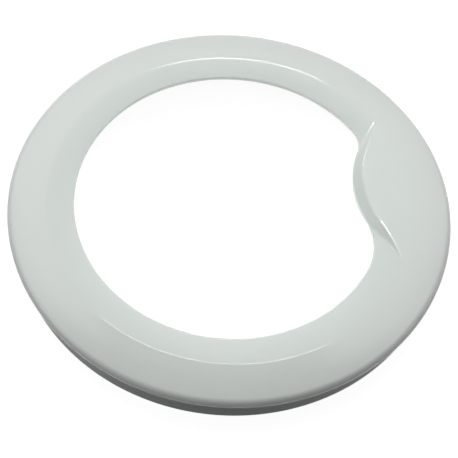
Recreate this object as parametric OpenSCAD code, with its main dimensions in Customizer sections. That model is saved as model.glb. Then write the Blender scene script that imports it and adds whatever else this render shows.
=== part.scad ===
// Outer frame of a front loader's porthole door, moulded in one piece.
// It lies on its back rim: the axis of the opening is Z and the handle points to +X.

/* [Ring] */
// Widest diameter, at the rounded rim
outer_d = 460; // [445:1:480]
// Diameter of the opening
opening_d = 323; // [313:1:328]
// Diameter of the crown, the ridge where the face meets the dished slope
crown_d = 380; // [374:1:390]
// Height of the crown above the back rim
frame_h = 48; // [44:1:54]
// Wall thickness of the moulding
wall = 2.6; // [2:0.1:3.2]

/* [Face and rim] */
// Fall of the face just outside the crown, in degrees
face_fall = 4; // [3:0.5:6]
// Fall of the face where the rim rounding starts, in degrees
rim_fall = 15; // [12:1:18]
// Width of the rim rounding, seen from above
rim_w = 5.5; // [4:0.5:7]
// Height of the upright land under the rim rounding
land_h = 2; // [1:0.5:4]
// Set-in of the skirt behind the rim
skirt_step = 1.6; // [1:0.2:2.4]
// Lean of the skirt from upright, in degrees
skirt_lean = 10; // [6:1:12]

/* [Dished slope] */
// Fall of the slope just inside the crown, in degrees
slope_top = 2; // [1:0.5:4]
// Fall of the slope at the opening, in degrees
slope_end = 7; // [6:0.5:10]
// Distance from the frame's axis to the axis of the dish
dish_shift = 2.8; // [0:0.2:4]
// Direction of that shift, in degrees from the handle
dish_az = 258; // [240:5:290]
// Depth of the lip that turns down round the opening
lip_h = 3.4; // [3:0.2:6]

/* [Handle lobe] */
// Distance from the frame's axis to the lobe's own axis
lobe_x = 240; // [237:0.5:244]
// Offset of the lobe's axis towards the upper side
lobe_y = 1.5; // [-2:0.5:4]
// Radius of the lobe's nose at its crest
nose_r = 100; // [97:1:103]
// Slope of the lobe's wall, in degrees from level
lobe_slope = 41; // [37:1:46]
// Lean of the crest's straight lower run, in degrees
lower_lean = 24.5; // [20:0.5:28]
// Lean of the crest's straight upper run, in degrees
upper_lean = 31.5; // [27:0.5:35]
// Width of the lobe's wall, seen from above
lobe_wall_w = 9.4; // [8:0.2:11]
// Radius of the long bend where the opening leaves the lobe
lower_bend_r = 68; // [60:1:76]
// Radius of the tighter bend at the lobe's upper end
upper_bend_r = 27.5; // [22:0.5:34]
// Direction at which the opening starts to draw in towards the lobe, in degrees from the handle
ease_az = 241; // [230:1:260]
// How much tighter the opening's radius is from there to the lobe
ease_in = 3.3; // [0:0.1:4]

/* [Glass seat] */
// Diameter of the collar's bore, which holds the glass
seat_d = 386; // [382:1:388]
// Thickness of the collar
collar_t = 2.4; // [2:0.1:3]
// Height of the collar's end above the back rim
collar_z = 16; // [12:1:20]
// Height of the shoulder that the glass bears on, above the back rim
shoulder_z = 36; // [34:0.5:37]
// Width of the shoulder, where the collar steps in
shoulder_w = 4; // [3:0.5:5]
// Number of ribs between the shoulder and the opening
slope_rib_count = 12; // [8:1:16]
// Thickness of those ribs
slope_rib_t = 2; // [1.6:0.1:2.4]

/* [Screw bosses and ribs] */
// Number of screw bosses
boss_count = 10; // [8:1:12]
// Diameter of the circle that the bosses stand on
boss_pcd = 414; // [412:1:416]
// Diameter of a boss
boss_d = 9; // [8:0.5:10]
// Diameter of a pilot hole
pilot_d = 3.4; // [3:0.1:3.8]
// Depth of a pilot hole
pilot_depth = 16; // [12:1:20]
// Height of a boss's end above the back rim
boss_z = 8; // [6:1:12]
// Number of ribs from one boss to the next
ribs_per_boss = 3; // [2:1:4]
// Thickness of a rib
rib_t = 2; // [1.6:0.1:2.4]
// Height of a rib's lower edge above the back rim
rib_z = 20; // [16:1:26]

/* [Hinge and snap openings] */
// Width of the hinge notch in the skirt
hinge_w = 96; // [80:2:110]
// Height of the hinge notch
hinge_h = 9; // [6:0.5:12]
// Width of a snap window in the collar
snap_w = 14; // [10:1:18]
// Height of a snap window
snap_h = 5; // [4:0.5:6]
// Wall left under a snap window
snap_edge = 3; // [2.5:0.5:5]
// Distance that the hinge notch keeps from the collar
notch_gap = 3; // [2:0.5:5]

/* [Hidden] */
$fn = 180;
// Length that reaches past the whole moulding, overlap of joined parts and overrun of cuts
far = 60;
lap = 20;
over = 1;
outer_r = outer_d / 2;
opening_r = opening_d / 2;
crown_r = crown_d / 2;
seat_r = seat_d / 2;
boss_r = boss_pcd / 2;
inner_r = 100;
// Arc of the face, from the crown out to the rim rounding
rim_x = outer_r - rim_w;
face_r = (rim_x - crown_r) / (sin(rim_fall) - sin(face_fall));
face_cx = crown_r - face_r * sin(face_fall);
face_cz = frame_h - face_r * cos(face_fall);
rim_z = face_cz + face_r * cos(rim_fall);
rim_r = rim_w / (1 - sin(rim_fall));
rim_cz = rim_z - rim_r * cos(rim_fall);
land_z = rim_cz - land_h;
skirt_top = outer_r - skirt_step;
skirt_foot = skirt_top - land_z * tan(skirt_lean);
// Arc of the dished slope, which goes on falling under the lobe
slope_r = (crown_r - opening_r) / (sin(slope_end) - sin(slope_top));
slope_cx = crown_r + slope_r * sin(slope_top);
slope_cz = frame_h - slope_r * cos(slope_top);
// Lobe crest, level with the face carried inwards
crest_z = frame_h + (crown_r - (lobe_x - nose_r)) * tan(face_fall);
lobe_depth = 28;
lobe_foot_z = frame_h - lobe_depth;
lobe_head_z = crest_z + lap / 2;
lobe_c = [lobe_x, lobe_y];
// Overlap where one surface runs on into another, so that the two cross cleanly
run_on = 0.03;
mouth_r = nose_r + lobe_wall_w;
// Tighter circle of the opening, which touches the main one at ease_az
ease_r = opening_r - ease_in;
ease_c = ease_in * [cos(ease_az), sin(ease_az)];
// Inside of the collar above its shoulder
upper_seat_r = seat_r - shoulder_w;
// Angle either side of the handle that is kept free of ribs
finger_half = 40;
boss_step = 360 / boss_count;
rib_step = boss_step / ribs_per_boss;

// Half section of the outside, filled solid and set in by t
module half_section(t) {
    foot = t > 0 ? -over : 0;
    crown_in = crown_r - t * sin(face_fall);
    crown_top = frame_h - t * cos(face_fall);
    skirt_in = t / cos(skirt_lean);
    rim_foot = land_z + t;
    polygon([
        [inner_r, foot], [crown_in, foot], [crown_in, crown_top],
        [inner_r, crown_top + (crown_in - inner_r) * tan(face_fall)]
    ]);
    intersection() {
        translate([face_cx, face_cz]) circle(r = face_r - t, $fn = 720);
        translate([crown_in - lap, rim_foot]) square([rim_x - t * sin(rim_fall) - crown_in + lap, far]);
    }
    intersection() {
        translate([outer_r - rim_r, rim_cz]) circle(r = rim_r - t);
        translate([outer_r - rim_r, max(rim_foot, rim_cz)]) square(far);
    }
    if (t == 0)
        translate([crown_in - lap, land_z]) square([outer_r - crown_in + lap, land_h]);
    polygon([
        [crown_in - lap, foot], [skirt_foot - skirt_in + foot * tan(skirt_lean), foot],
        [skirt_foot - skirt_in + rim_foot * tan(skirt_lean), rim_foot], [crown_in - lap, rim_foot]
    ]);
}

// Space above the dished slope, with the slope lowered by drop
module above_slope(drop) {
    rotate([0, 0, dish_az]) translate([dish_shift, 0, -drop])
        rotate_extrude() difference() {
            square([crown_r + lap, frame_h + far / 2]);
            translate([slope_cx, slope_cz]) circle(r = slope_r, $fn = 720);
            square([crown_r + lap, lobe_foot_z]);
        }
}

// Wedge between two directions, wider than the frame
module sector(az0, az1) {
    step = (az1 - az0) / 4;
    polygon([[0, 0], for (az = [az0 : step : az1]) 2 * outer_r * [cos(az), sin(az)]]);
}

// Straight run of the lobe's wall, carried on from its round nose out past the rim
module lobe_run(az, side, r_top, r_foot) {
    rotate([0, 0, az]) translate([0, side > 0 ? outer_r : 0, 0])
        rotate([90, 0, 0]) linear_extrude(height = outer_r)
            polygon([[0, lobe_foot_z], [r_foot, lobe_foot_z], [r_top, lobe_head_z], [0, lobe_head_z]]);
}

// Block under the lobe's crest, its wall set in by t
module lobe_block(t) {
    set_in = t / sin(lobe_slope);
    r_top = nose_r - (lobe_head_z - crest_z) / tan(lobe_slope) - set_in;
    r_foot = nose_r + (crest_z - lobe_foot_z) / tan(lobe_slope) - set_in;
    translate(lobe_c) {
        translate([0, 0, lobe_foot_z]) cylinder(r1 = r_foot, r2 = r_top, h = lobe_head_z - lobe_foot_z);
        lobe_run(180 + lower_lean, 1, r_top - run_on, r_foot - run_on);
        lobe_run(180 - upper_lean, -1, r_top - run_on, r_foot - run_on);
    }
}

// Outside of the moulding filled solid, every surface set in by t
module filled_ring(t) {
    difference() {
        rotate_extrude() half_section(t);
        difference() {
            above_slope(t);
            lobe_block(t);
        }
    }
}

// Corner of the opening that lies outside a bend of radius r, which touches the lobe's circle
// and the ring circle given by ring_c and ring_r, side 1 above and -1 below
module corner_bit(ring_c, ring_r, r, side, grow) {
    from_ring = ring_r - r;
    from_lobe = mouth_r + r;
    ring_to_lobe = lobe_c - ring_c;
    span = norm(ring_to_lobe);
    turn = side * acos((from_ring^2 + span^2 - from_lobe^2) / (2 * from_ring * span));
    az = atan2(ring_to_lobe.y, ring_to_lobe.x) + turn;
    to_ring = [cos(az), sin(az)];
    centre = ring_c + from_ring * to_ring;
    to_lobe = (lobe_c - centre) / from_lobe;
    reach = r + grow + lap;
    tip = centre + (to_ring + to_lobe) * reach / (1 + to_ring * to_lobe);
    difference() {
        polygon([centre, centre + to_ring * reach, tip, centre + to_lobe * reach]);
        translate(centre) circle(r = r + grow + run_on, $fn = 360);
    }
}

// Outline of the opening, grown by a margin: two circles that touch, with the lobe's bulge in them
module mouth(grow) {
    difference() {
        union() {
            intersection() {
                circle(r = opening_r + grow, $fn = 360);
                sector(0, ease_az);
            }
            intersection() {
                translate(ease_c) circle(r = ease_r + grow, $fn = 360);
                sector(ease_az, 360);
            }
        }
        translate(lobe_c) circle(r = mouth_r - grow, $fn = 360);
        corner_bit(ease_c, ease_r, lower_bend_r, -1, grow);
        corner_bit([0, 0], opening_r, upper_bend_r, 1, grow);
    }
}

// Lip that turns down round the whole opening
module lip() {
    intersection() {
        linear_extrude(height = 2 * far) mouth(wall);
        above_slope(lip_h);
    }
}

// Upright radial rib of thickness t, given by its outline
module rib(az, t, outline) {
    rotate([90, 0, az]) translate([0, 0, -t / 2]) linear_extrude(height = t) polygon(outline);
}

// Stepped ring wall that centres the glass, with a window for each snap of the rear frame
module seat_collar() {
    difference() {
        rotate_extrude($fn = 360) polygon([
            [seat_r, collar_z], [seat_r + collar_t, collar_z],
            [seat_r + collar_t, shoulder_z + collar_t], [upper_seat_r + collar_t, shoulder_z + collar_t],
            [upper_seat_r + collar_t, far], [upper_seat_r, far],
            [upper_seat_r, shoulder_z], [seat_r, shoulder_z]
        ]);
        for (i = [0 : boss_count - 1]) rotate([0, 0, i * boss_step])
            translate([seat_r - over, -snap_w / 2, collar_z + snap_edge])
                cube([collar_t + 2 * over, snap_w, snap_h]);
    }
}

// Ribs level with the shoulder; the space behind the handle lobe stays free for fingers
module slope_ribs() {
    r0 = opening_r + 2 * wall;
    r1 = upper_seat_r + collar_t / 2;
    for (i = [0 : slope_rib_count - 1]) {
        az = (i + 0.5) * 360 / slope_rib_count;
        if (min(az, 360 - az) > finger_half)
            rib(az, slope_rib_t, [[r0, shoulder_z], [r1, shoulder_z], [r1, far], [r0, far]]);
    }
}

// Screw bosses, each on a rib, with lighter ribs between them
module bosses_and_ribs() {
    r0 = seat_r + collar_t / 2;
    r1 = upper_seat_r + collar_t / 2;
    z1 = shoulder_z + collar_t / 2;
    outline = [[r0, rib_z], [outer_r, rib_z], [outer_r, far], [r1, far], [r1, z1], [r0, z1]];
    for (i = [0 : boss_count * ribs_per_boss - 1]) rib(boss_step / 2 + i * rib_step, rib_t, outline);
    for (i = [0 : boss_count - 1]) rotate([0, 0, (i + 0.5) * boss_step])
        translate([boss_r, 0, boss_z]) cylinder(d = boss_d, h = far, $fn = 48);
}

module pilot_holes() {
    for (i = [0 : boss_count - 1]) rotate([0, 0, (i + 0.5) * boss_step])
        translate([boss_r, 0, boss_z - over]) cylinder(d = pilot_d, h = pilot_depth + over, $fn = 48);
}

// Clearance in the skirt for the arm of the hinge
module hinge_notch() {
    notch_x = seat_r + collar_t + notch_gap;
    translate([-outer_r - over, -hinge_w / 2, -over])
        cube([outer_r + over - notch_x, hinge_w, hinge_h + over]);
}

// Space behind the skin, less everything that stands in it
module hollow() {
    difference() {
        filled_ring(wall);
        lip();
        seat_collar();
        slope_ribs();
        bosses_and_ribs();
    }
}

// The moulding: the filled form, hollowed from the back
module door_frame() {
    color([0.87, 0.89, 0.88]) difference() {
        filled_ring(0);
        translate([0, 0, -far]) linear_extrude(height = 3 * far) mouth(0);
        hollow();
        pilot_holes();
        hinge_notch();
    }
}

door_frame();
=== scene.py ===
import math

import bpy
import numpy as np
from mathutils import Matrix, Vector


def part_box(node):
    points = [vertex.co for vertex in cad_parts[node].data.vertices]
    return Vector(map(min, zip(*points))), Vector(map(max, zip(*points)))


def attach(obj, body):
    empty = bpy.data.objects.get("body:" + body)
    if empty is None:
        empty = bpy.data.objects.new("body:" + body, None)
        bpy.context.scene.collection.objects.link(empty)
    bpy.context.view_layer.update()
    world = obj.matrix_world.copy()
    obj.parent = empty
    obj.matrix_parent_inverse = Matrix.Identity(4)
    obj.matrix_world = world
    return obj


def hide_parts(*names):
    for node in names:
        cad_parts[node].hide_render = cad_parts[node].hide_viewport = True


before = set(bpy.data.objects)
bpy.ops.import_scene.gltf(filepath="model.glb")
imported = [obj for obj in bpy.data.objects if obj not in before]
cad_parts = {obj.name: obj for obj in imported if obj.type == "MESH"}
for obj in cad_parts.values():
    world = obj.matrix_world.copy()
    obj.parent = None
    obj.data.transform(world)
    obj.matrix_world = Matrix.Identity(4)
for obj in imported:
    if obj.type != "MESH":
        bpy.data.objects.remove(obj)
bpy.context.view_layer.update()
boxLow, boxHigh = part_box("door_frame")
print("frame loaded")

mm = 0.001
viewTurn = 12.0     # the picture is taken this many degrees clockwise of the frame's own +Y


# Small helpers

def sine(degrees):
    return math.sin(math.radians(degrees))


def cosine(degrees):
    return math.cos(math.radians(degrees))


def tangent(degrees):
    return math.tan(math.radians(degrees))


def direction(degrees):
    return np.array([cosine(degrees), sine(degrees)])


def linearColour(hexColour):
    channels = [int(hexColour[i:i + 2], 16) / 255 for i in (1, 3, 5)]
    return tuple(c / 12.92 if c <= 0.04045 else ((c + 0.055) / 1.055) ** 2.4 for c in channels) + (1.0,)


def addNode(tree, kind, inputs=None, **settings):
    node = tree.nodes.new(kind)
    for name, value in settings.items():
        setattr(node, name, value)
    for name, value in (inputs or {}).items():
        if isinstance(value, bpy.types.NodeSocket):
            tree.links.new(value, node.inputs[name])
        else:
            node.inputs[name].default_value = value
    return node


def newMaterial(name):
    material = bpy.data.materials.new(name)
    material.use_nodes = True
    material.node_tree.nodes.clear()
    return material, material.node_tree


def newObject(name, points, faces, materials, faceMaterials=None, smooth=True):
    mesh = bpy.data.meshes.new(name)
    mesh.from_pydata([tuple(p) for p in points], [], [tuple(f) for f in faces])
    for material in materials:
        mesh.materials.append(material)
    if faceMaterials is not None:
        mesh.polygons.foreach_set("material_index", faceMaterials)
    mesh.polygons.foreach_set("use_smooth", [smooth] * len(mesh.polygons))
    mesh.update()
    thing = bpy.data.objects.new(name, mesh)
    bpy.context.scene.collection.objects.link(thing)
    return thing


# Finishes

glossAbs = {                 # ABS, injection moulded against a polished tool: even, bright, faintly wavy gloss
    "colour": "#DFE4E1",
    "shade": "#D9DFDC",      # drift of the pigment over a hand's width
    "roughness": 0.06,
    "ior": 1.53,
    "lightPath": 2.4,        # mm that light travels in the plastic, which makes thin edges glow
    "driftSize": 140.0,      # mm
    "waveSize": 26.0,        # mm, length of the moulding's slow waviness
    "waveHeight": 0.006,     # mm
    "grainSize": 0.9,        # mm, real orange peel is finer than the render shows
    "grainHeight": 0.0006,   # mm
}
sparkedAbs = {               # the same ABS against the spark-eroded core side of the tool: dull and fine-grained
    "colour": "#D9DEDB",
    "roughness": 0.46,
    "ior": 1.53,
    "paintedShadeSpecular": 0.02,        # painted shade: reflection turned nearly off so the skirt and other back faces stay as dark as the skirt's shadow
    "grainSize": 0.7,        # mm
    "grainHeight": 0.012,    # mm
}


def makeGlossAbs():
    material, tree = newMaterial("glossWhiteAbs")
    place = addNode(tree, "ShaderNodeTexCoord").outputs["Object"]
    drift = addNode(tree, "ShaderNodeTexNoise",
                    {"Vector": place, "Scale": 1 / (glossAbs["driftSize"] * mm), "Detail": 2.0})
    colour = addNode(tree, "ShaderNodeMix",
                     {0: drift.outputs["Fac"], 6: linearColour(glossAbs["colour"]),
                      7: linearColour(glossAbs["shade"])}, data_type="RGBA")
    wave = addNode(tree, "ShaderNodeTexNoise",
                   {"Vector": place, "Scale": 1 / (glossAbs["waveSize"] * mm), "Detail": 1.0})
    grain = addNode(tree, "ShaderNodeTexNoise",
                    {"Vector": place, "Scale": 1 / (glossAbs["grainSize"] * mm), "Detail": 2.0})
    waveBump = addNode(tree, "ShaderNodeBump",
                       {"Height": wave.outputs["Fac"], "Distance": glossAbs["waveHeight"] * mm})
    grainBump = addNode(tree, "ShaderNodeBump",
                        {"Height": grain.outputs["Fac"], "Distance": glossAbs["grainHeight"] * mm,
                         "Normal": waveBump.outputs["Normal"]})
    gloss = addNode(tree, "ShaderNodeMapRange",
                    {"Value": grain.outputs["Fac"], "To Min": glossAbs["roughness"] * 0.8,
                     "To Max": glossAbs["roughness"] * 1.2})
    shader = addNode(tree, "ShaderNodeBsdfPrincipled",
                     {"Base Color": colour.outputs[2], "Roughness": gloss.outputs["Result"],
                      "IOR": glossAbs["ior"], "Normal": grainBump.outputs["Normal"],
                      "Subsurface Weight": 1.0, "Subsurface Radius": (1.0, 1.1, 1.0),
                      "Subsurface Scale": glossAbs["lightPath"] * mm})
    addNode(tree, "ShaderNodeOutputMaterial", {"Surface": shader.outputs["BSDF"]})
    return material


def makeSparkedAbs():
    material, tree = newMaterial("sparkErodedAbs")
    place = addNode(tree, "ShaderNodeTexCoord").outputs["Object"]
    grain = addNode(tree, "ShaderNodeTexNoise",
                    {"Vector": place, "Scale": 1 / (sparkedAbs["grainSize"] * mm), "Detail": 3.0})
    bump = addNode(tree, "ShaderNodeBump",
                   {"Height": grain.outputs["Fac"], "Distance": sparkedAbs["grainHeight"] * mm})
    gloss = addNode(tree, "ShaderNodeMapRange",
                    {"Value": grain.outputs["Fac"], "To Min": sparkedAbs["roughness"] * 0.85,
                     "To Max": sparkedAbs["roughness"] * 1.15})
    # the near-zero specular level is painted shade, which keeps the skirt dark
    shader = addNode(tree, "ShaderNodeBsdfPrincipled",
                     {"Base Color": linearColour(sparkedAbs["colour"]), "Roughness": gloss.outputs["Result"],
                      "IOR": sparkedAbs["ior"], "Specular IOR Level": sparkedAbs["paintedShadeSpecular"],
                      "Normal": bump.outputs["Normal"]})
    addNode(tree, "ShaderNodeOutputMaterial", {"Surface": shader.outputs["BSDF"]})
    return material


frontFinish = makeGlossAbs()
backFinish = makeSparkedAbs()
print("finishes made")


# The moulded shell: face, crown, dished slope, handle lobe, rim and skirt

shell = {                    # millimetres and degrees
    "outerRadius": boxHigh[0] / mm,
    "openingRadius": 161.5,
    "crownRadius": 190.0,
    "crownHeight": 48.0,
    "wall": 2.6,
    "faceFall": 4.0,         # fall of the face just outside the crown
    "rimFall": 15.0,         # fall of the face where the rim rounding starts
    "rimWidth": 5.5,
    "landHeight": 2.0,
    "skirtStep": 1.6,
    "skirtLean": 10.0,
    "slopeTop": 2.0,         # fall of the dished slope inside the crown and at the opening
    "slopeEnd": 7.0,
    "dishShift": 2.8,
    "dishAzimuth": 258.0,
    "lipHeight": 3.4,
    "crownBlend": 1.5,       # half width of the rounded ridge
    "footBlend": 5.0,        # half width of the hollow at the foot of the lobe's wall
    "edgeRadius": 1.6,       # rounding of the opening's edge
    "smallRadius": 0.4,
    "notchWidth": 96.0,
    "notchHeight": 9.0,
}
lobe = {
    "axis": np.array([240.0, 1.5]),
    "noseRadius": 100.0,
    "wallSlope": 41.0,
    "wallWidth": 9.4,
    "lowerLean": 24.5,
    "upperLean": 31.5,
    "lowerBend": 68.0,
    "upperBend": 27.5,
    "easeAzimuth": 241.0,    # the opening's circle eases into a slightly tighter one from here to the lobe
    "easeRadius": 158.2,
}
lobe["crestHeight"] = (shell["crownHeight"] + (shell["crownRadius"] - lobe["axis"][0] + lobe["noseRadius"])
                       * tangent(shell["faceFall"]))
rimStart = shell["outerRadius"] - shell["rimWidth"]
faceRadius = (rimStart - shell["crownRadius"]) / (sine(shell["rimFall"]) - sine(shell["faceFall"]))
faceCentre = (shell["crownRadius"] - faceRadius * sine(shell["faceFall"]),
              shell["crownHeight"] - faceRadius * cosine(shell["faceFall"]))
rimRadius = shell["rimWidth"] / (1 - sine(shell["rimFall"]))
rimCentreZ = faceCentre[1] + (faceRadius - rimRadius) * cosine(shell["rimFall"])
landZ = rimCentreZ - shell["landHeight"]
skirtTop = shell["outerRadius"] - shell["skirtStep"]
slopeRadius = (shell["crownRadius"] - shell["openingRadius"]) / (sine(shell["slopeEnd"]) - sine(shell["slopeTop"]))
slopeCentre = (shell["crownRadius"] + slopeRadius * sine(shell["slopeTop"]),
               shell["crownHeight"] - slopeRadius * cosine(shell["slopeTop"]))


def faceHeight(x, y, setIn):
    r = np.hypot(x, y)
    start = shell["crownRadius"] - setIn * sine(shell["faceFall"])
    cone = (shell["crownHeight"] - setIn * cosine(shell["faceFall"])
            + (start - r) * tangent(shell["faceFall"]))
    arc = faceCentre[1] + np.sqrt(np.maximum((faceRadius - setIn) ** 2 - (r - faceCentre[0]) ** 2, 0))
    return np.where(r < start, cone, arc)


def dishHeight(x, y, setIn):
    shift = shell["dishShift"] * direction(shell["dishAzimuth"])
    r = np.minimum(np.hypot(x - shift[0], y - shift[1]), slopeCentre[0])
    return slopeCentre[1] + np.sqrt(slopeRadius ** 2 - (r - slopeCentre[0]) ** 2) - setIn


def lobeDistance(x, y):
    dx, dy = x - lobe["axis"][0], y - lobe["axis"][1]
    turn = np.degrees(np.arctan2(dy, dx)) % 360
    lower, upper = direction(180 + lobe["lowerLean"]), direction(180 - lobe["upperLean"])
    far = np.hypot(dx, dy)
    far = np.where(turn > 180 + lobe["lowerLean"], dx * lower[0] + dy * lower[1], far)
    return np.where(turn < 180 - lobe["upperLean"], dx * upper[0] + dy * upper[1], far)


def wallHeight(x, y, setIn):
    nose = lobe["noseRadius"] - setIn / sine(lobe["wallSlope"])
    return lobe["crestHeight"] - (lobeDistance(x, y) - nose) * tangent(lobe["wallSlope"])


def blendDepth(gap, x, y, halfWidth):
    # height over which two surfaces melt together, so that the blend is halfWidth wide on either side
    step = 0.01
    here = gap(x, y)
    return np.maximum(halfWidth * np.hypot(gap(x + step, y) - here, gap(x, y + step) - here) / step, 1e-5)


def softMin(a, b, depth):
    share = np.maximum(depth - np.abs(a - b), 0) / depth
    return np.minimum(a, b) - share ** 2 * depth / 4


def slopeHeight(x, y, setIn):
    gap = lambda px, py: dishHeight(px, py, setIn) - wallHeight(px, py, setIn)
    depth = blendDepth(gap, x, y, shell["footBlend"])
    return -softMin(-dishHeight(x, y, setIn), -wallHeight(x, y, setIn), depth)


def topHeight(x, y, setIn=0.0):
    gap = lambda px, py: faceHeight(px, py, setIn) - slopeHeight(px, py, setIn)
    depth = blendDepth(gap, x, y, shell["crownBlend"])
    return softMin(faceHeight(x, y, setIn), slopeHeight(x, y, setIn), depth)


def cornerCentre(ringCentre, ringRadius, lobeRadius, bend, side):
    toLobe = lobe["axis"] - ringCentre
    span = np.hypot(*toLobe)
    fromRing, fromLobe = ringRadius - bend, lobeRadius + bend
    turn = math.acos((fromRing ** 2 + span ** 2 - fromLobe ** 2) / (2 * fromRing * span))
    return ringCentre + fromRing * direction(math.degrees(math.atan2(toLobe[1], toLobe[0]) + side * turn))


def azimuth(vector):
    return math.degrees(math.atan2(vector[1], vector[0]))


def openingOutline():
    # arcs round the opening, as points and the directions that point into the plastic
    opening, centre = shell["openingRadius"], np.zeros(2)
    easeCentre = (opening - lobe["easeRadius"]) * direction(lobe["easeAzimuth"])
    mouth = lobe["noseRadius"] + lobe["wallWidth"]
    upper = cornerCentre(centre, opening, mouth, lobe["upperBend"], 1)
    lower = cornerCentre(easeCentre, lobe["easeRadius"], mouth, lobe["lowerBend"], -1)
    arcs = [
        (easeCentre, lobe["easeRadius"], lobe["easeAzimuth"] - 360, azimuth(lower - easeCentre), 1),
        (lower, lobe["lowerBend"], azimuth(lower - easeCentre), azimuth(lobe["axis"] - lower), 1),
        (lobe["axis"], mouth, azimuth(lower - lobe["axis"]) % 360, azimuth(upper - lobe["axis"]) % 360, -1),
        (upper, lobe["upperBend"], azimuth(lobe["axis"] - upper), azimuth(upper), 1),
        (centre, opening, azimuth(upper), lobe["easeAzimuth"], 1),
    ]
    points, normals = [], []
    for middle, radius, start, end, side in arcs:
        turns = np.radians(np.linspace(start, end, 400))
        unit = np.stack([np.cos(turns), np.sin(turns)], 1)
        points.append(middle + radius * unit)
        normals.append(side * unit)
    return np.concatenate(points), np.concatenate(normals)


def shellColumns():
    # angles of the sections: close together across the handle, wider elsewhere, paired at the hinge notch
    lobeStart, lobeEnd, notchHalf = -52, 46, math.degrees(shell["notchWidth"] / 2 / skirtTop)
    across = np.linspace(lobeStart, lobeEnd, 226)
    rest = np.linspace(lobeEnd, lobeStart + 360, 292)[1:-1]
    notch = [180 + side * notchHalf + shift for side in (-1, 1) for shift in (-0.04, 0.04)]
    rest = rest[np.min(np.abs(rest[:, None] - np.array(notch)), 1) > 0.3]
    return np.sort(np.concatenate([across, rest, notch])), notchHalf


def crossing(turns, setIn, edge):
    # radius at which each section's slope or lobe wall runs into the face
    steps = np.linspace(0, 1, 240)
    r = edge[:, None] + (shell["crownRadius"] + 8 - edge[:, None]) * steps
    x, y = r * np.cos(turns)[:, None], r * np.sin(turns)[:, None]
    gap = faceHeight(x, y, setIn) - slopeHeight(x, y, setIn)
    first = np.argmax(gap < 0, 1)
    rows = np.arange(len(turns))
    before, after = gap[rows, first - 1], gap[rows, first]
    share = before / (before - after)
    return r[rows, first - 1] + share * (r[rows, first] - r[rows, first - 1])


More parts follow.
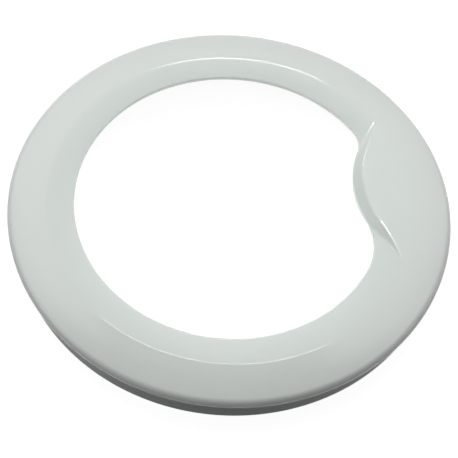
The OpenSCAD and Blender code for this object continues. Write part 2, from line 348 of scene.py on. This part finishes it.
def makeShell():
    s, wall, small = shell, shell["wall"], shell["smallRadius"]
    degreesRound, notchHalf = shellColumns()
    turns = np.radians(degreesRound)
    outline, outlineNormals = openingOutline()
    angles = np.unwrap(np.arctan2(outline[:, 1], outline[:, 0]))
    period = 2 * math.pi
    reach = np.interp(turns, angles, np.hypot(*outline.T), period=period)
    normal = np.stack([np.interp(turns, angles, outlineNormals[:, k], period=period) for k in (0, 1)], 1)
    normal /= np.hypot(*normal.T)[:, None]
    ray = np.stack([np.cos(turns), np.sin(turns)], 1)
    mouth = ray * reach[:, None]

    def across(offset):
        return mouth + normal * np.reshape(offset, (-1, 1))

    def column(xy, z):
        return np.concatenate([xy, np.reshape(np.broadcast_to(z, len(xy)), (-1, 1))], 1)

    sections = []
    # lip, from its lower edge up to the rounded edge of the opening
    lipZ = dishHeight(mouth[:, 0], mouth[:, 1], 0) - s["lipHeight"]
    for offset, rise in ((wall - small, 0), (small, 0), (small * 0.3, small * 0.3), (0, small)):
        sections.append(column(across(np.full(len(turns), offset)), lipZ + rise))
    # the edge turns over an arc that meets the surface at its own slope
    radius = s["edgeRadius"]
    probe = [across(np.full(len(turns), radius * share)) for share in (0.6, 1.0)]
    rise = (topHeight(*probe[1].T) - topHeight(*probe[0].T)) / (radius * 0.4)
    lean = np.arctan(rise)
    startOffset = radius * (1 - np.sin(lean))
    start = across(startOffset)
    centreZ = topHeight(*start.T) - radius * np.cos(lean)
    for share in np.linspace(0, 1, 7)[:-1]:
        turn = share * (math.pi / 2 - lean)
        sections.append(column(across(radius * (1 - np.cos(turn))), centreZ + radius * np.sin(turn)))
    # slope or lobe wall up to the crown or crest, then the face out to the rim
    crest = ray * crossing(turns, 0.0, reach + radius)[:, None]
    for share in 1 - (1 - np.linspace(0, 1, 38)[:-1]) ** 1.5:
        xy = start + (crest - start) * share
        sections.append(column(xy, topHeight(*xy.T)))
    for share in np.linspace(0, 1, 38)[:-1] ** 1.6:
        xy = crest + (ray * rimStart - crest) * share
        sections.append(column(xy, topHeight(*xy.T)))
    # rim rounding and upright land
    for lean in np.linspace(s["rimFall"], 90, 15):
        r = s["outerRadius"] - rimRadius * (1 - sine(lean))
        sections.append(column(ray * r, rimCentreZ + rimRadius * cosine(lean)))
    for inward, rise in ((0, small), (small * 0.3, small * 0.3), (small, 0), (s["skirtStep"] - 0.1, 0)):
        sections.append(column(ray * (s["outerRadius"] - inward), landZ + rise))
    glossCount = len(sections) - 1
    # skirt, which stops short at the hinge notch
    inNotch = np.abs(degreesRound - 180) < notchHalf
    footZ = np.where(inNotch, s["notchHeight"], 0.0)
    for share in (0.02, 0.3, 0.6, 0.9):
        z = landZ - share * (landZ - footZ)
        sections.append(column(ray * (skirtTop - (landZ - z) * tangent(s["skirtLean"]))[:, None], z))
    footRadius = skirtTop - (landZ - footZ) * tangent(s["skirtLean"])
    sections.append(column(ray * (footRadius - small * 0.1)[:, None], footZ + small))
    sections.append(column(ray * (footRadius - small)[:, None], footZ))
    # back of the skirt and of the rim
    inset = wall / cosine(s["skirtLean"])
    sections.append(column(ray * (footRadius - inset + small)[:, None], footZ))
    innerTop = landZ + wall
    for share in (0.03, 0.5, 1.0):
        z = footZ + share * (innerTop - footZ)
        sections.append(column(ray * (skirtTop - inset - (landZ - z) * tangent(s["skirtLean"]))[:, None], z))
    for lean in np.linspace(90, s["rimFall"], 7):
        r = s["outerRadius"] - rimRadius + (rimRadius - wall) * sine(lean)
        z = max(rimCentreZ + (rimRadius - wall) * cosine(lean), innerTop)
        sections.append(column(ray * r, z))
    # back of the face, the crown and the slope, down to the lip's own back
    innerStart = across(np.full(len(turns), wall))
    innerReach = np.hypot(*innerStart.T)
    innerCrest = ray * crossing(turns, wall, innerReach)[:, None]
    rimInner = rimStart - wall * sine(s["rimFall"])
    for share in 1 - np.linspace(1, 0, 17)[1:] ** 1.5:
        xy = ray * rimInner + (innerCrest - ray * rimInner) * share
        sections.append(column(xy, topHeight(*xy.T, wall)))
    for share in np.linspace(0, 1, 17)[1:] ** 1.4:
        xy = innerCrest + (innerStart - innerCrest) * share
        sections.append(column(xy, topHeight(*xy.T, wall)))
    sections.append(column(innerStart, lipZ + small))

    grid = np.stack(sections, 1) * mm
    columns, rows = grid.shape[:2]
    index = np.arange(columns * rows).reshape(columns, rows)
    right, below = np.roll(index, -1, 0), np.roll(index, -1, 1)
    faces = np.stack([index, below, np.roll(right, -1, 1), right], -1).reshape(-1, 4)
    rowOfFace = np.tile(np.arange(rows), columns)
    finish = np.where(rowOfFace < glossCount, 0, 1)
    faces = faces[:, ::-1] if signedVolume(grid.reshape(-1, 3), faces) < 0 else faces
    return newObject("door_shell", grid.reshape(-1, 3), faces, [frontFinish, backFinish], finish)


def signedVolume(points, faces):
    a, b, c, d = (points[faces[:, k]] for k in range(4))
    return float((np.einsum("ij,ij->i", a, np.cross(b, c)) + np.einsum("ij,ij->i", a, np.cross(c, d))).sum()) / 6


doorShell = makeShell()
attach(doorShell, "root")
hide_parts("door_frame")
print("shell made:", len(doorShell.data.polygons), "faces")


# Back of the moulding: glass seat, ribs and screw bosses, each a ring of equal copies

seat = {                     # millimetres
    "bore": 193.0,
    "thickness": 2.4,
    "foot": 16.0,
    "shoulder": 36.0,
    "shoulderWidth": 4.0,
    "windows": 10,
    "windowWidth": 14.0,
    "windowFoot": 19.0,
    "windowHeight": 5.0,
}
rib = {"thickness": 2.0, "foot": 20.0, "copies": 30}
slopeRib = {"thickness": 2.0, "copies": 10, "first": 45.0, "step": 30.0}   # none behind the handle
boss = {"circle": 207.0, "diameter": 9.0, "foot": 8.0, "pilotDiameter": 3.4, "pilotTop": 24.0, "copies": 10}
backEdge = 0.3               # mm, rounding that the tool leaves on every edge
sunk = 1.0                   # mm that each piece reaches into the wall it stands on


def makeRingOfCopies():
    tree = bpy.data.node_groups.new("ringOfCopies", "GeometryNodeTree")
    for name, kind in (("Geometry", "Geometry"), ("Copies", "Int"), ("First Angle", "Float"),
                       ("Step Angle", "Float"), ("Material", "Material")):
        tree.interface.new_socket(name, in_out="INPUT", socket_type="NodeSocket" + kind)
    tree.interface.new_socket("Geometry", in_out="OUTPUT", socket_type="NodeSocketGeometry")
    given = addNode(tree, "NodeGroupInput").outputs
    points = addNode(tree, "GeometryNodePoints", {"Count": given["Copies"]})
    index = addNode(tree, "GeometryNodeInputIndex")
    turn = addNode(tree, "ShaderNodeMath", {0: index.outputs[0], 1: given["Step Angle"], 2: given["First Angle"]},
                   operation="MULTIPLY_ADD")
    rotation = addNode(tree, "ShaderNodeCombineXYZ", {"Z": turn.outputs[0]})
    copies = addNode(tree, "GeometryNodeInstanceOnPoints",
                     {"Points": points.outputs[0], "Instance": given["Geometry"], "Rotation": rotation.outputs[0]})
    real = addNode(tree, "GeometryNodeRealizeInstances", {"Geometry": copies.outputs[0]})
    finished = addNode(tree, "GeometryNodeSetMaterial", {"Geometry": real.outputs[0], "Material": given["Material"]})
    addNode(tree, "NodeGroupOutput", {"Geometry": finished.outputs[0]})
    return tree


def repeatRound(name, points, faces, copies, first, step):
    pattern = newObject(name + "Pattern", np.array(points) * mm, faces, [backFinish])
    ring = pattern.modifiers.new("ring", "NODES")
    ring.node_group = ringTree
    values = {"Copies": copies, "First Angle": math.radians(first), "Step Angle": math.radians(step),
              "Material": backFinish}
    for socket in ringTree.interface.items_tree:
        if socket.in_out == "INPUT" and socket.name in values:
            ring[socket.identifier] = values[socket.name]
    weld = pattern.modifiers.new("weld", "WELD")
    weld.merge_threshold = 0.01 * mm
    bevel = pattern.modifiers.new("bevel", "BEVEL")
    bevel.width = backEdge * mm
    bevel.segments = 2
    bevel.angle_limit = math.radians(40)
    bevel.harden_normals = True
    evaluated = pattern.evaluated_get(bpy.context.evaluated_depsgraph_get())
    mesh = bpy.data.meshes.new_from_object(evaluated)
    mesh.name = name
    bpy.data.objects.remove(pattern)
    piece = bpy.data.objects.new(name, mesh)
    bpy.context.scene.collection.objects.link(piece)
    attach(piece, "root")
    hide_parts("door_frame")
    print(name, "made:", len(mesh.polygons), "faces")
    return piece


def innerTop(r):
    # height of the inside of the skin above the frame's own +Y, where the handle doesn't reach
    return float(topHeight(0.0, r, shell["wall"]))


def uprightRib(outline, thickness):
    # plate along +X, given by its outline of radius and height
    half, count = thickness / 2, len(outline)
    points = [(r, side, z) for side in (-half, half) for r, z in outline]
    faces = [tuple(range(count)), tuple(range(2 * count - 1, count - 1, -1))]
    faces += [(i, i + count, (i + 1) % count + count, (i + 1) % count) for i in range(count)]
    return points, outwards(points, faces)


def outwards(points, faces):
    # turns every face over if the closed form is inside out
    points = np.array(points)
    volume = 0.0
    for face in faces:
        for i in range(1, len(face) - 1):
            volume += np.dot(points[face[0]], np.cross(points[face[i]], points[face[i + 1]]))
    return faces if volume > 0 else [tuple(reversed(face)) for face in faces]


def makeSeat():
    # one sector of the collar with its snap window; the sectors' ends weld together
    bore, upper, thick = seat["bore"], seat["bore"] - seat["shoulderWidth"], seat["thickness"]
    windowTop = seat["windowFoot"] + seat["windowHeight"]
    top = innerTop(upper + thick / 2) + sunk
    profile = [(bore, seat["foot"]), (bore, seat["windowFoot"]), (bore, windowTop), (bore, seat["shoulder"]),
               (upper, seat["shoulder"]), (upper, top), (upper + thick, top),
               (upper + thick, seat["shoulder"] + thick), (bore + thick, seat["shoulder"] + thick),
               (bore + thick, windowTop), (bore + thick, seat["windowFoot"]), (bore + thick, seat["foot"])]
    sector = 360 / seat["windows"]
    windowHalf = math.degrees(math.asin(seat["windowWidth"] / 2 / bore))
    side = np.linspace(windowHalf, sector / 2, 10)
    angles = np.concatenate([-side[::-1], np.linspace(-windowHalf, windowHalf, 5)[1:-1], side])
    open_ = [abs(a + b) / 2 < windowHalf for a, b in zip(angles, angles[1:])]
    rows, count = len(profile), len(angles)
    points = [(r * cosine(a), r * sine(a), z) for a in angles for r, z in profile]
    faces = []
    for i in range(count - 1):
        for j in range(rows):
            if not (open_[i] and j in (1, 9)):
                k = (j + 1) % rows
                faces.append((i * rows + j, i * rows + k, (i + 1) * rows + k, (i + 1) * rows + j))
        if open_[i]:
            faces.append((i * rows + 1, (i + 1) * rows + 1, (i + 1) * rows + 10, i * rows + 10))
            faces.append((i * rows + 2, i * rows + 9, (i + 1) * rows + 9, (i + 1) * rows + 2))
    start = open_.index(True)
    end = start + sum(open_)
    faces.append((start * rows + 1, start * rows + 10, start * rows + 9, start * rows + 2))
    faces.append((end * rows + 1, end * rows + 2, end * rows + 9, end * rows + 10))
    return repeatRound("glass_seat", points, faces, seat["windows"], 0, sector)


def makeRibs():
    # the rib follows the inside of the skirt, the land, the rim and the face
    inset = shell["wall"] / cosine(shell["skirtLean"])
    inner = seat["bore"] + seat["thickness"] / 2
    upper = inner - seat["shoulderWidth"]
    shoulder = seat["shoulder"] + seat["thickness"] / 2
    landTop = landZ + sunk
    skirt = [(skirtTop - inset + sunk - (landZ - z) * tangent(shell["skirtLean"]), z) for z in (rib["foot"], landTop)]
    rimArc = rimRadius - shell["wall"] + sunk
    rim = [(shell["outerRadius"] - rimRadius + rimArc * sine(lean), rimCentreZ + rimArc * cosine(lean))
           for lean in np.linspace(90, shell["rimFall"], 6)]
    face = [(r, innerTop(r) + sunk) for r in np.linspace(rim[-1][0] - 3, upper, 9)]
    outline = [(inner, rib["foot"])] + skirt + [(rim[0][0], landTop)] + rim + face + [(upper, shoulder), (inner, shoulder)]
    points, faces = uprightRib(outline, rib["thickness"])
    return repeatRound("ribs", points, faces, rib["copies"], 18, 360 / rib["copies"])


def makeSlopeRibs():
    inner = shell["openingRadius"] + 2 * shell["wall"]
    outer = seat["bore"] - seat["shoulderWidth"] + seat["thickness"] / 2
    slope = [(r, innerTop(r) + sunk) for r in np.linspace(outer, inner, 9)]
    points, faces = uprightRib([(inner, seat["shoulder"]), (outer, seat["shoulder"])] + slope, slopeRib["thickness"])
    return repeatRound("slope_ribs", points, faces, slopeRib["copies"], slopeRib["first"], slopeRib["step"])


def makeBosses():
    # turned about its own axis, with a blind pilot hole for a thread-forming screw
    radius, pilot, top = boss["diameter"] / 2, boss["pilotDiameter"] / 2, innerTop(boss["circle"]) + sunk + 0.2
    profile = [(pilot, boss["pilotTop"]), (pilot, boss["foot"]), (radius, boss["foot"]), (radius, top)]
    sides, rows = 40, len(profile)
    points = [(boss["circle"] + r * cosine(a), r * sine(a), z)
              for a in np.arange(sides) * 360 / sides for r, z in profile]
    faces = [(i * rows + j, (i + 1) % sides * rows + j, (i + 1) % sides * rows + j + 1, i * rows + j + 1)
             for i in range(sides) for j in range(rows - 1)]
    faces += [tuple(i * rows for i in reversed(range(sides))), tuple(i * rows + rows - 1 for i in range(sides))]
    return repeatRound("screw_bosses", points, outwards(points, faces), boss["copies"], 18, 360 / boss["copies"])


ringTree = makeRingOfCopies()
makeSeat()
makeRibs()
makeSlopeRibs()
makeBosses()


# Floor, light and camera

stageValues = {
    "floorSize": 24.0,        # metres
    "floorWhite": 0.93,       # what the camera and reflections see of the floor, before the lamps' own light on it
    "floorSeen": "#7C7E7D",   # colour that carries the shadow
    "floorColour": "#3A3B3B", # colour that lights the object from below
    "world": 0.34,
    "nearDark": 0.9,          # share by which the room is darker low down on the camera's side
    "patchRadius": 0.155,     # metres: inside the opening the floor lights the lip with its full white
    "patchGlow": 0.5,         # and this much more, as light that the floor scatters sideways
}
# Softboxes. centre: degrees from straight overhead, towards the camera's right and away from the camera;
# width and height: the angles they span; fade: soft share of the left, right, near and far edge;
# luminance: 1 is white; aim: millimetres, the point it faces and is measured from; distance: metres from there;
# spin: degrees about that line; glossOnly: a thin strip that draws a glint and lights nothing. Flags are dark
# cards before a panel's near edge: foot and top: left and right end as shares of the panel; height, edge: share
# it reaches, share that is soft
lamps = {
    "skyPanel": {"centre": (-1, 38), "width": 98, "height": 74, "fade": (0.32, 0.34, 0.32, 0.6),
                 "luminance": 2.0, "distance": 5.0, "flags": [
                     {"foot": (0.355, 0.69), "top": (0.404, 0.584), "height": 0.284, "edge": 0.008, "depth": 0.6},
                     {"foot": (0.4, 0.6), "top": (0.42, 0.58), "height": 0.46, "edge": 0.1, "depth": 0.6}]},
    "leftPanel": {"centre": (-58, -8), "width": 50, "height": 66, "fade": (0.45, 0.45, 0.45, 0.45),
                  "luminance": 1.35, "distance": 5.0},
    "rightPanel": {"centre": (52, 42), "width": 46, "height": 60, "fade": (0.45, 0.45, 0.45, 0.45),
                   "luminance": 0.36, "distance": 5.0},
    "crownStrip": {"centre": (0.0, 43.5), "width": 14.8, "height": 4.2, "fade": (0.08, 0.08, 0.12, 0.12),
                   "luminance": 8.5, "distance": 1.237},
    "ridgeStrip": {"centre": (0, 27), "aim": (-39.5, -185.8, 48.0), "width": 32, "height": 4.3,
                   "fade": (0.25, 0.25, 0.2, 0.2), "luminance": 6.5, "distance": 1.2, "glossOnly": True},
    "crestStrip": {"centre": (8, 30), "aim": (157.0, -57.0, 48.7), "width": 7, "height": 32, "spin": 37,
                   "fade": (0.2, 0.2, 0.3, 0.1), "luminance": 40.0, "distance": 0.06, "glossOnly": True},
}
cameraView = {
    "target": (-6.5, -34.8, 45.75),   # mm
    "distance": 1427.6,               # mm
    "elevation": 57.03,
    "turn": 12.06,                    # degrees from +Y, clockwise
    "roll": 5.82,
    "lens": 110.04,
}


def makeFloor():
    size = stageValues["floorSize"] / 2
    material, tree = newMaterial("paleFloor")
    path = addNode(tree, "ShaderNodeLightPath")
    seen = addNode(tree, "ShaderNodeMath", {0: path.outputs["Is Camera Ray"], 1: path.outputs["Is Glossy Ray"]},
                   operation="MAXIMUM")
    seen = addNode(tree, "ShaderNodeMath", {0: seen.outputs[0], 1: path.outputs["Is Transmission Ray"]},
                   operation="MAXIMUM")
    place = addNode(tree, "ShaderNodeTexCoord").outputs["Object"]
    reach = addNode(tree, "ShaderNodeVectorMath", {0: place}, operation="LENGTH")
    patch = addNode(tree, "ShaderNodeMath", {0: reach.outputs["Value"], 1: stageValues["patchRadius"]},
                    operation="LESS_THAN")
    seen = addNode(tree, "ShaderNodeMath", {0: seen.outputs[0], 1: patch.outputs[0]}, operation="MAXIMUM")
    dark = addNode(tree, "ShaderNodeBsdfDiffuse", {"Color": linearColour(stageValues["floorColour"])})
    pale = addNode(tree, "ShaderNodeBsdfDiffuse", {"Color": linearColour(stageValues["floorSeen"])})
    glow = addNode(tree, "ShaderNodeMath", {0: patch.outputs[0], 1: path.outputs["Is Diffuse Ray"]},
                   operation="MULTIPLY")
    glow = addNode(tree, "ShaderNodeMath", {0: glow.outputs[0], 1: stageValues["patchGlow"],
                                            2: stageValues["floorWhite"]}, operation="MULTIPLY_ADD")
    white = addNode(tree, "ShaderNodeEmission", {"Color": (1, 1, 1, 1), "Strength": glow.outputs[0]})
    both = addNode(tree, "ShaderNodeAddShader", {0: pale.outputs[0], 1: white.outputs[0]})
    mix = addNode(tree, "ShaderNodeMixShader", {0: seen.outputs[0], 1: dark.outputs[0], 2: both.outputs[0]})
    addNode(tree, "ShaderNodeOutputMaterial", {"Surface": mix.outputs[0]})
    corners = [(-size, -size, 0), (size, -size, 0), (size, size, 0), (-size, size, 0)]
    return newObject("paleFloor", corners, [(0, 1, 2, 3)], [material])


def makeLamp(name, values):
    lampData = bpy.data.lights.new(name, "AREA")
    lampData.shape = "RECTANGLE"
    lampData.size, lampData.size_y = (2 * values["distance"] * tangent(values[side] / 2)
                                      for side in ("width", "height"))
    lampData.energy = values["luminance"] * math.pi * lampData.size * lampData.size_y
    lampData.use_nodes = True
    tree = lampData.node_tree
    tree.nodes.clear()

    def ramp(value, start, end):
        return addNode(tree, "ShaderNodeMapRange", {"Value": value, "From Min": start, "From Max": end},
                       interpolation_type="SMOOTHERSTEP").outputs["Result"]

    def times(a, b):
        return addNode(tree, "ShaderNodeMath", {0: a, 1: b}, operation="MULTIPLY").outputs[0]

    place = addNode(tree, "ShaderNodeNewGeometry").outputs["Parametric"]
    place = addNode(tree, "ShaderNodeSeparateXYZ", {"Vector": place})
    across, away = place.outputs["X"], place.outputs["Y"]
    left, right, near, far = values["fade"]
    strength = times(times(ramp(across, 0, left), ramp(across, 1, 1 - right)),
                     times(ramp(away, 0, near), ramp(away, 1, 1 - far)))
    for card in values.get("flags", []):
        strength = times(strength, makeFlag(tree, across, away, card, ramp, times))
    glow = addNode(tree, "ShaderNodeEmission", {"Strength": strength})
    addNode(tree, "ShaderNodeOutputLight", {"Surface": glow.outputs[0]})

    lamp = bpy.data.objects.new(name, lampData)
    bpy.context.scene.collection.objects.link(lamp)
    overRight, overFar = values["centre"]
    lean, turn = math.hypot(overRight, overFar), azimuth((overRight, overFar)) - viewTurn
    towards = Vector((sine(lean) * cosine(turn), sine(lean) * sine(turn), cosine(lean)))
    cameraRight = Vector((cosine(-viewTurn), sine(-viewTurn), 0))
    side = (cameraRight - towards * cameraRight.dot(towards)).normalized()
    place = Vector(values.get("aim", (0, 0, 0))) * mm + towards * values["distance"]
    lamp.matrix_world = (Matrix.Translation(place)
                         @ Matrix((side, towards.cross(side), towards)).transposed().to_4x4()
                         @ Matrix.Rotation(math.radians(values.get("spin", 0)), 4, "Z"))
    if values.get("glossOnly"):
        lamp.visible_diffuse = lamp.visible_camera = False
    return lamp


def makeFlag(tree, across, away, card, ramp, times):
    def edge(side):
        # the card's sides lean from its foot to its top
        return addNode(tree, "ShaderNodeMapRange",
                       {"Value": away, "From Max": card["height"], "To Min": card["foot"][side],
                        "To Max": card["top"][side]}, clamp=False).outputs["Result"]

    def within(line, sign):
        gap = addNode(tree, "ShaderNodeMath", {0: across, 1: line}, operation="SUBTRACT").outputs[0]
        return ramp(gap, -sign * card["edge"], sign * card["edge"])

    hidden = times(within(edge(0), 1), within(edge(1), -1))
    hidden = times(hidden, ramp(away, card["height"] + card["edge"], card["height"] - card["edge"]))
    return addNode(tree, "ShaderNodeMapRange", {"Value": hidden, "To Min": 1.0, "To Max": 1 - card["depth"]}
                   ).outputs["Result"]


def makeWorld():
    world = bpy.data.worlds.new("studio")
    world.use_nodes = True
    tree = world.node_tree
    tree.nodes.clear()
    path = addNode(tree, "ShaderNodeLightPath")
    seen = addNode(tree, "ShaderNodeMath", {0: path.outputs["Is Camera Ray"], 1: path.outputs["Is Glossy Ray"]},
                   operation="MAXIMUM")
    seen = addNode(tree, "ShaderNodeMath", {0: seen.outputs[0], 1: path.outputs["Is Transmission Ray"]},
                   operation="MAXIMUM")
    nearSide = (-sine(viewTurn), -cosine(viewTurn), 0)
    towards = addNode(tree, "ShaderNodeVectorMath", {0: addNode(tree, "ShaderNodeTexCoord").outputs["Generated"],
                                                     1: nearSide}, operation="DOT_PRODUCT")
    level = addNode(tree, "ShaderNodeMapRange",
                    {"Value": towards.outputs["Value"], "From Min": 0.4, "From Max": 0.85,
                     "To Min": stageValues["world"], "To Max": stageValues["world"] * (1 - stageValues["nearDark"])},
                    interpolation_type="SMOOTHSTEP")
    dim = addNode(tree, "ShaderNodeBackground", {"Color": (1, 1, 1, 1), "Strength": level.outputs["Result"]})
    white = addNode(tree, "ShaderNodeBackground", {"Color": (1, 1, 1, 1), "Strength": 1.0})
    mix = addNode(tree, "ShaderNodeMixShader", {0: seen.outputs[0], 1: dim.outputs[0], 2: white.outputs[0]})
    addNode(tree, "ShaderNodeOutputWorld", {"Surface": mix.outputs[0]})
    bpy.context.scene.world = world


def makeCamera():
    v = cameraView
    forward = Vector((sine(v["turn"]) * cosine(v["elevation"]), cosine(v["turn"]) * cosine(v["elevation"]),
                      -sine(v["elevation"])))
    level = forward.cross(Vector((0, 0, 1))).normalized()
    up = level.cross(forward)
    right = level * cosine(v["roll"]) + up * sine(v["roll"])
    up = up * cosine(v["roll"]) - level * sine(v["roll"])
    camera = bpy.data.objects.new("camera", bpy.data.cameras.new("camera"))
    camera.data.lens = v["lens"]
    camera.data.clip_end = 50
    turnMatrix = Matrix((right, up, -forward)).transposed().to_4x4()
    camera.matrix_world = Matrix.Translation((Vector(v["target"]) - forward * v["distance"]) * mm) @ turnMatrix
    bpy.context.scene.collection.objects.link(camera)
    bpy.context.scene.camera = camera


makeFloor()
for lampName, lampValues in lamps.items():
    makeLamp(lampName, lampValues)
makeWorld()
makeCamera()
bpy.context.scene.view_settings.view_transform = "Standard"
print("stage made")
